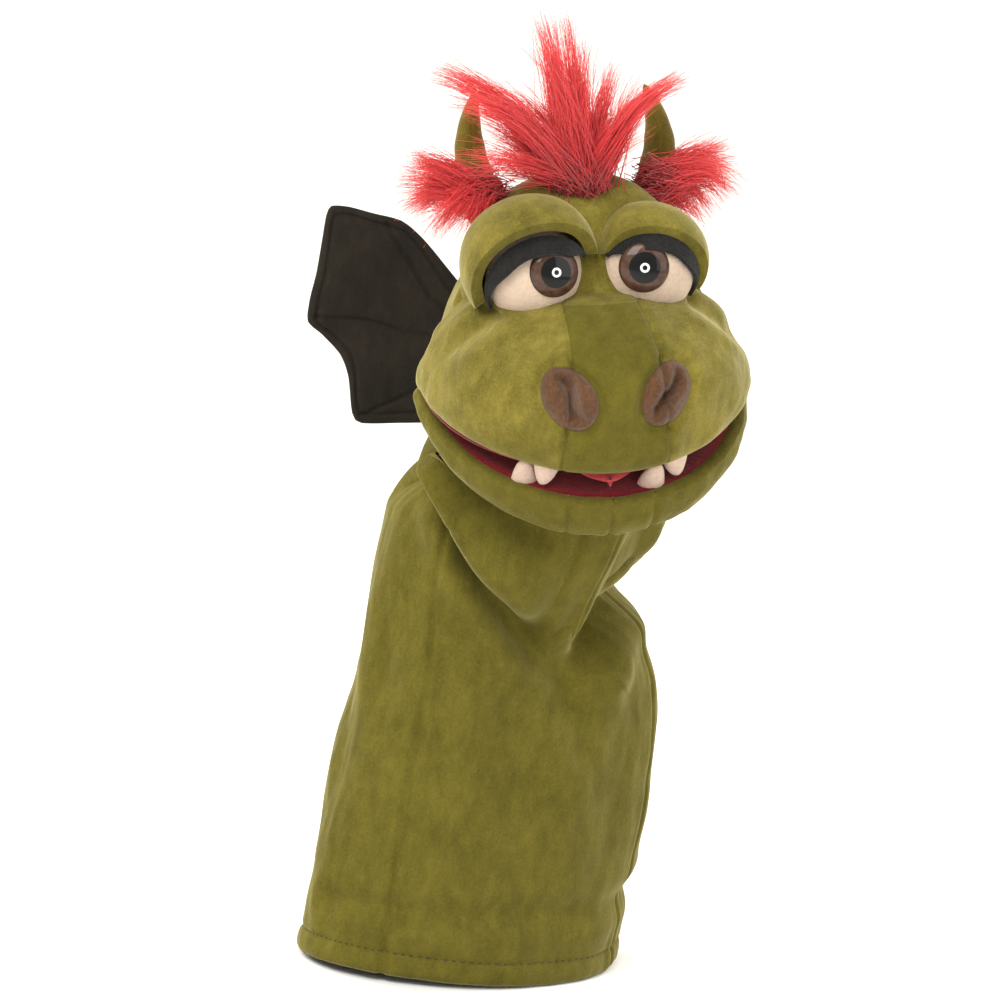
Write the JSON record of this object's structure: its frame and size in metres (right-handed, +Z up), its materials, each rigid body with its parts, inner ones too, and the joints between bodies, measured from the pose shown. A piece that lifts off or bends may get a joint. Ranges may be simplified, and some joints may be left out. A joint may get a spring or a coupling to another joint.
{
  "type": "moving mouth puppet",
  "caption": "Plush dragon hand puppet with a long sleeve, a mouth that opens by hand, quilted wings, stuffed horns and fur locks.",
  "frame": {"origin": "centre of the arm opening, in the plane of the sleeve's hem", "axes": "+Z up the forearm to the crown, -Y the way the body faces, +X to the puppet's own left"},
  "size_m": [0.1964, 0.2147, 0.3936],
  "materials": {
    "green_plush": "short-pile velour",
    "green_thread": "topstitching",
    "stuffing": "loose polyester fill",
    "pocket_cloth": "plain woven",
    "red_lining": "smooth felt",
    "stiffener": "flexible sheet",
    "white_felt": "felt",
    "brown_felt": "felt",
    "eye_plastic": "moulded, clear front",
    "washer_plastic": "moulded",
    "black_felt": "felt",
    "olive_felt": "brushed plush",
    "red_fur": "long pile",
    "tongue_felt": "felt",
    "dark_plush": "short pile, topstitched"
  },
  "bodies": {
    "sleeve": {"sleeve_front_panel": "green_plush", "sleeve_side_panel_left": "green_plush", "sleeve_side_panel_right": "green_plush", "hem_stitching": "green_thread"},
    "neck": {"neck_front_panel": "green_plush", "neck_side_panel_left": "green_plush", "neck_side_panel_right": "green_plush", "nape_skin": "green_plush"},
    "head": {"nose_bridge_panel": "green_plush", "muzzle_panel_left": "green_plush", "muzzle_panel_right": "green_plush", "forehead_panel": "green_plush", "temple_panel_left": "green_plush", "temple_panel_right": "green_plush", "cheek_panel_left": "green_plush", "cheek_panel_right": "green_plush", "hood_panel_left": "green_plush", "hood_panel_right": "green_plush", "muzzle_stuffing": "stuffing", "crown_stuffing": "stuffing", "finger_pocket": "pocket_cloth", "upper_lining": "red_lining", "upper_mouth_board": "stiffener", "upper_fang_left": "white_felt", "upper_fang_right": "white_felt", "nostril_left": "brown_felt", "nostril_right": "brown_felt", "eye_white_left": "white_felt", "eye_white_right": "white_felt", "eye_dome_left": "eye_plastic", "eye_dome_right": "eye_plastic", "eye_washer_left": "washer_plastic", "eye_washer_right": "washer_plastic", "eyelid_left": "green_plush", "eyelid_right": "green_plush", "lash_strip_left": "black_felt", "lash_strip_right": "black_felt", "horn_left": "olive_felt", "horn_right": "olive_felt", "forelock": "red_fur", "temple_tuft_left": "red_fur", "temple_tuft_right": "red_fur", "mane": "red_fur"},
    "jaw": {"chin_panel_left": "green_plush", "chin_panel_right": "green_plush", "jaw_panel_left": "green_plush", "jaw_panel_right": "green_plush", "jaw_stuffing": "stuffing", "thumb_pocket": "pocket_cloth", "lower_lining": "red_lining", "lower_mouth_board": "stiffener", "lower_fang_left": "white_felt", "lower_fang_right": "white_felt", "throat_skin": "green_plush"},
    "tongue": {"tongue": "tongue_felt"},
    "wing_left": {"wing_left": "dark_plush", "wing_batting_left": "stuffing"},
    "wing_right": {"wing_right": "dark_plush", "wing_batting_right": "stuffing"}
  },
  "joints": [
    {"name": "head_turn", "type": "hinge", "parent": "sleeve", "child": "neck", "pos_m": [0, 0, 0.14], "axis": [0, 0, 1], "range_deg": [-35, 35]},
    {"name": "head_nod", "type": "hinge", "parent": "neck", "child": "head", "pos_m": [0, 0.005, 0.2], "axis": [1, 0, 0], "range_deg": [-20, 15], "deforming": ["nape_skin", "throat_skin"]},
    {"name": "jaw_open", "type": "hinge", "parent": "head", "child": "jaw", "pos_m": [-0.0125, -0.042, 0.249], "axis": [0.9051, -0.3842, 0.1822], "range_deg": [-9, 20], "deforming": ["throat_skin", "nape_skin", "upper_fang_left", "upper_fang_right", "lower_fang_left", "lower_fang_right"]},
    {"name": "tongue_lift", "type": "hinge", "parent": "jaw", "child": "tongue", "pos_m": [-0.01545, -0.05289, 0.2407], "axis": [-0.9051, 0.3842, -0.1822], "range_deg": [0, 12], "deforming": ["upper_fang_left", "upper_fang_right"]},
    {"name": "wing_flap_left", "type": "hinge", "parent": "head", "child": "wing_left", "pos_m": [0.03331, 0.02818, 0.25173], "axis": [-0.1677, 0.0712, 0.9833], "range_deg": [-40, 10], "stiffness_Nm_per_rad": 0.05},
    {"name": "wing_flap_right", "type": "hinge", "parent": "head", "child": "wing_right", "pos_m": [0.00616, 0.0397, 0.24627], "axis": [0.1677, -0.0712, -0.9833], "range_deg": [-10, 40], "stiffness_Nm_per_rad": 0.05}
  ]
}
